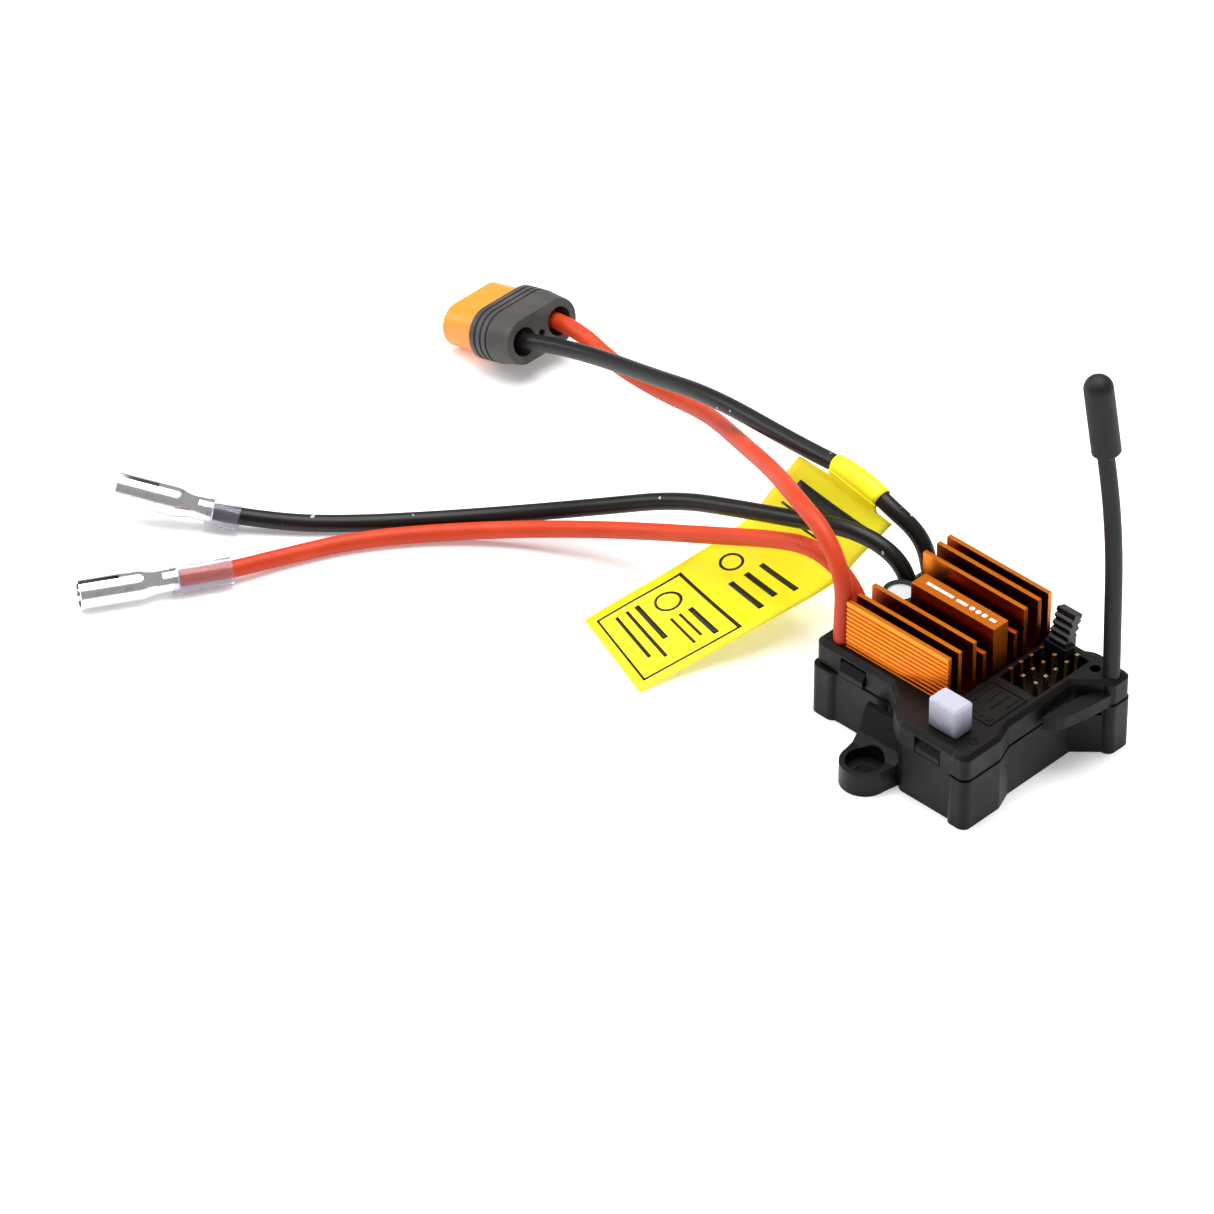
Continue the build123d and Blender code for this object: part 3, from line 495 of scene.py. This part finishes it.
# %% [markdown]
# **The film tag.** A strip of yellow film is wrapped once round the black battery lead and
# stuck to itself, so a flag hangs from a narrower neck. The flag slopes down under the motor
# leads and its end rests on the table. It is made as a grid between its two edges: the rows
# go down the slope, steep and then nearly flat, and the columns curl up a little at the sides.
# %% Tag
# both edges of the film, row by row down the slope: x, y, z in millimetres
TAG_ROWS = (
    ((-40.8, 11.5, 28.7), (-29.1, 10.6, 27.4)), ((-40.9, 11.7, 27.2), (-29.2, 11.1, 25.4)),
    ((-48.8, 12.7, 26.3), (-25.9, 11.3, 24.4)), ((-53.9, 11.3, 17.0), (-30.6, 9.2, 16.6)),
    ((-58.5, 9.1, 8.6), (-35.1, 6.3, 9.2)), ((-61.6, -5.3, 4.9), (-39.9, -10.0, 5.2)),
    ((-64.8, -13.0, 2.0), (-43.5, -19.3, 2.2)), ((-66.8, -21.6, 0.3), (-46.2, -29.3, 0.3)))
SHOULDER = 2                   # the row where the neck widens into the flag
LAST_ROW = len(TAG_ROWS) - 1
TAG_THICK, TAG_CURL = 0.22, 0.35
ROW_STEPS, COLUMNS = 8, 16     # grid steps between rows, and over the width
PROBE = 0.02                   # step that measures which way the film faces


def smooth_row(table, at):
    """A point of a table on a curve through its rows, straight above the shoulder."""
    k = min(int(at), len(table) - 2)
    share = at - k
    if k < SHOULDER:
        return table[k] + (table[k + 1] - table[k]) * share
    before = table[max(k - 1, SHOULDER)]
    after = table[min(k + 2, len(table) - 1)]
    rise_in = (table[k + 1] - before) / 2
    rise_out = (after - table[k]) / 2
    a, b = share * share * (3 - 2 * share), share * (1 - share)
    return (table[k] * (1 - a) + table[k + 1] * a
            + rise_in * b * (1 - share) - rise_out * b * share)


def on_tag(down, across, lift=0.0):
    """The point of the film at a row number and a share of its width, lifted off it."""
    edges = np.array(TAG_ROWS)

    def at(row, share):
        left, right = smooth_row(edges[:, 0], row), smooth_row(edges[:, 1], row)
        point = left + (right - left) * share
        point[2] += TAG_CURL * (2 * share - 1) ** 2 * math.sin(math.pi * row / LAST_ROW)
        return Vector(point)

    point = at(down, across)
    if lift:
        slope = at(min(down + PROBE, LAST_ROW), across) - at(max(down - PROBE, 0), across)
        width = at(down, across + PROBE) - at(down, across - PROBE)
        normal = width.cross(slope).normalized()
        point += normal * (lift if normal.z > 0 else -lift)
    return point * MM


def patch(mesh, downs, shares, lift=0.0):
    """A grid of faces laid over part of the film."""
    grid = [[mesh.verts.new(on_tag(d, a, lift)) for a in shares] for d in downs]
    for upper, lower in zip(grid, grid[1:]):
        for j in range(len(shares) - 1):
            mesh.faces.new((upper[j], upper[j + 1], lower[j + 1], lower[j]))


def round_angles(sides):
    return np.linspace(0, 2 * math.pi, sides, endpoint=False)


def bridge(mesh, ring, other):
    """Faces between two closed rings of points."""
    for j in range(len(ring)):
        k = (j + 1) % len(ring)
        mesh.faces.new((ring[j], ring[k], other[k], other[j]))


def thicken(piece, thick_mm, side=0.0):
    """Give a skin its thickness, to both sides or to one."""
    film = piece.modifiers.new("film", "SOLIDIFY")
    film.thickness, film.offset = thick_mm * MM, side


def mesh_piece(name, mesh, material, smooth=True):
    """An object from a bmesh, with one material, riding on the case."""
    data = bpy.data.meshes.new(name)
    bmesh.ops.recalc_face_normals(mesh, faces=mesh.faces)
    mesh.to_mesh(data)
    mesh.free()
    data.materials.append(material)
    for face in data.polygons:
        face.use_smooth = smooth
    made = bpy.data.objects.new(name, data)
    bpy.context.collection.objects.link(made)
    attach(made, "root")
    return made


def tag_film():
    """Yellow film with a soft gloss and a fine crackle of creases."""
    material, shader, place = finish("tag_film", Specular_IOR_Level=0.4)
    creases = grain(place, 3.5, 3.0)
    link(shader, "Base Color", blend(creases, (1.0, 0.83, 0.0), (1.0, 0.93, 0.0)))
    link(shader, "Roughness", 0.38 + 0.2 * creases)
    relief(shader, creases, 0.05)
    return material


yellow_film = tag_film()
sheet_mesh = bmesh.new()
patch(sheet_mesh, np.linspace(0, LAST_ROW, ROW_STEPS * LAST_ROW + 1),
      np.linspace(0, 1, COLUMNS + 1))
tag = mesh_piece("tag_flag", sheet_mesh, yellow_film)
thicken(tag, TAG_THICK)
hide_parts("wire_tag")
print("tag slope", len(TAG_ROWS), "rows")

# %% [markdown]
# **Print on the tag.** Plain black marks without any meaning: a frame with bars beside a
# ring, then another ring and more bars. They are thin skins that follow the film.
# %% The tag's print
INK_THICK = 0.02
INK_LIFT = TAG_THICK / 2 + 0.03
RING_SIDES = 40
TAG_BARS = (                                   # row from, row to, share from, share to
    (4.95, 5.00, 0.08, 0.92), (6.72, 6.77, 0.08, 0.92), (4.95, 6.77, 0.08, 0.10),
    (4.95, 6.77, 0.90, 0.92), (5.22, 5.32, 0.46, 0.84), (5.46, 5.52, 0.46, 0.78),
    (5.66, 5.72, 0.46, 0.82), (5.98, 6.08, 0.16, 0.62), (6.20, 6.26, 0.16, 0.80),
    (6.40, 6.46, 0.16, 0.72), (2.45, 2.75, 0.14, 0.86), (3.02, 3.08, 0.14, 0.70),
    (3.26, 3.32, 0.14, 0.80), (4.26, 4.32, 0.44, 0.86), (4.44, 4.50, 0.44, 0.80),
    (4.62, 4.68, 0.44, 0.84))
TAG_ROUNDS = ((5.48, 0.28, 2.4, 1.9), (4.47, 0.26, 2.2, 1.7))     # row, share, outer, inner


def grid_steps(start, end, finer):
    """Places from start to end, closer together the finer they should be."""
    return np.linspace(start, end, int((end - start) * finer) + 2)


def tag_print():
    """All the marks as one thin skin over the film."""
    mesh = bmesh.new()
    for top, low, left, right in TAG_BARS:
        patch(mesh, grid_steps(top, low, 10), grid_steps(left, right, COLUMNS), INK_LIFT)
    for row, share, outer, inner in TAG_ROUNDS:
        row_mm = (on_tag(row + 0.1, share) - on_tag(row - 0.1, share)).length / (0.2 * MM)
        wide_mm = (on_tag(row, 1.0) - on_tag(row, 0.0)).length / MM
        bridge(mesh, *([mesh.verts.new(on_tag(row + radius * math.sin(a) / row_mm,
                                              share + radius * math.cos(a) / wide_mm, INK_LIFT))
                        for a in round_angles(RING_SIDES)] for radius in (outer, inner)))
    return mesh_piece("tag_print", mesh, print_black)


print_black = moulded_plastic("print_black", (0.006, 0.006, 0.006), (0.010, 0.010, 0.010), 0.45,
                              0.3, 0.002, edge_mm=0.0)
ink = tag_print()
thicken(ink, INK_THICK)
print("print", len(TAG_BARS), "bars,", len(TAG_ROUNDS), "rounds")

# %% [markdown]
# **Mark on the heat sink.** A white line with three dots, printed on its broad middle bar.
# %% The heat sink's mark
MARK_TOP, MARK_Y = 24.83, 3.4                  # height of the mark and its middle line
MARK_BARS = ((-10.6, -4.6, 0.32), (-3.9, -1.5, 0.32), (3.6, 4.9, 0.32))  # from, to, half width
MARK_DOTS, DOT_R, DOT_SIDES = (-0.4, 1.0, 2.4), 0.5, 24
MARK_THICK = 0.04


def sink_mark():
    """Bars and dots as one thin skin over the flat top."""
    mesh = bmesh.new()
    for x0, x1, half in MARK_BARS:
        mesh.faces.new([mesh.verts.new(Vector((x, MARK_Y + y, MARK_TOP)) * MM)
                        for x, y in ((x0, -half), (x1, -half), (x1, half), (x0, half))])
    for x0 in MARK_DOTS:
        mesh.faces.new([mesh.verts.new(Vector((x0 + DOT_R * math.cos(a),
                                               MARK_Y + DOT_R * math.sin(a), MARK_TOP)) * MM)
                        for a in round_angles(DOT_SIDES)])
    return mesh_piece("heatsink_mark", mesh, print_white, smooth=False)


print_white = moulded_plastic("print_white", (0.78, 0.78, 0.76), (0.88, 0.88, 0.86), 0.5, 0.3,
                              0.003, edge_mm=0.0)
mark = sink_mark()
thicken(mark, MARK_THICK)
print("mark", len(MARK_BARS), "bars,", len(MARK_DOTS), "dots")

# %% [markdown]
# The neck goes once round the lead: a short tube of film that follows the lead's own line.
# %% The tag's wrap
WRAP_FROM, WRAP_TO, WRAP_R = 20.8, 32.2, 1.78
WRAP_THICK, WRAP_RINGS, WRAP_SIDES = 0.12, 14, 24


def tube_on(line, start, end, radius, name, material):
    """A tube on part of a line, from start to end in millimetres along it."""
    far = np.cumsum([0.0] + [(b - a).length / MM for a, b in zip(line, line[1:])])
    mesh = bmesh.new()
    rings = []
    for s in np.linspace(start, end, WRAP_RINGS):
        k = int(np.clip(np.searchsorted(far, s), 1, len(line) - 1))
        share = (s - far[k - 1]) / (far[k] - far[k - 1])
        point = line[k - 1].lerp(line[k], float(share))
        along = (line[k] - line[k - 1]).normalized()
        side = along.cross(Vector((0, 0, 1))).normalized()
        up = side.cross(along)
        rings.append([mesh.verts.new(point + (side * math.cos(a) + up * math.sin(a)) * radius * MM)
                      for a in round_angles(WRAP_SIDES)])
    for ring, other in zip(rings, rings[1:]):
        bridge(mesh, ring, other)
    return mesh_piece(name, mesh, material)


wrap = tube_on(lines["battery_wire_negative"], WRAP_FROM, WRAP_TO, WRAP_R, "tag_wrap",
               yellow_film)
thicken(wrap, WRAP_THICK, side=1.0)
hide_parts("wire_tag_wrap")
print("wrap", round(WRAP_TO - WRAP_FROM, 1), "mm along the lead")

print("cords", len(wires))

# %% [markdown]
# The floor is a wide pale sheet that the part stands on. It glows a little, like a light
# table, so that shadows stay faint.
# %% Floor
FLOOR_GLOW = 0.22
FLOOR_CORNERS = ((-3, -3), (3, -3), (3, 3), (-3, 3))      # in metres


def pale_floor():
    material, shader, place = finish("pale_floor", Emission_Strength=FLOOR_GLOW)
    link(shader, "Base Color", blend(grain(place, 40.0), (0.93, 0.93, 0.93), (0.96, 0.96, 0.96)))
    link(shader, "Emission Color", blend(grain(place, 40.0), (0.97, 0.97, 0.97), (1.0, 1.0, 1.0)))
    link(shader, "Roughness", 0.5 + 0.2 * grain(place, 5.0))
    mesh = bmesh.new()
    corners = [mesh.verts.new((x, y, 0.0)) for x, y in FLOOR_CORNERS]
    mesh.faces.new(corners)
    data = bpy.data.meshes.new("table")
    mesh.to_mesh(data)
    mesh.free()
    data.materials.append(material)
    floor = bpy.data.objects.new("table", data)
    bpy.context.collection.objects.link(floor)
    return floor


print("floor", pale_floor().name)
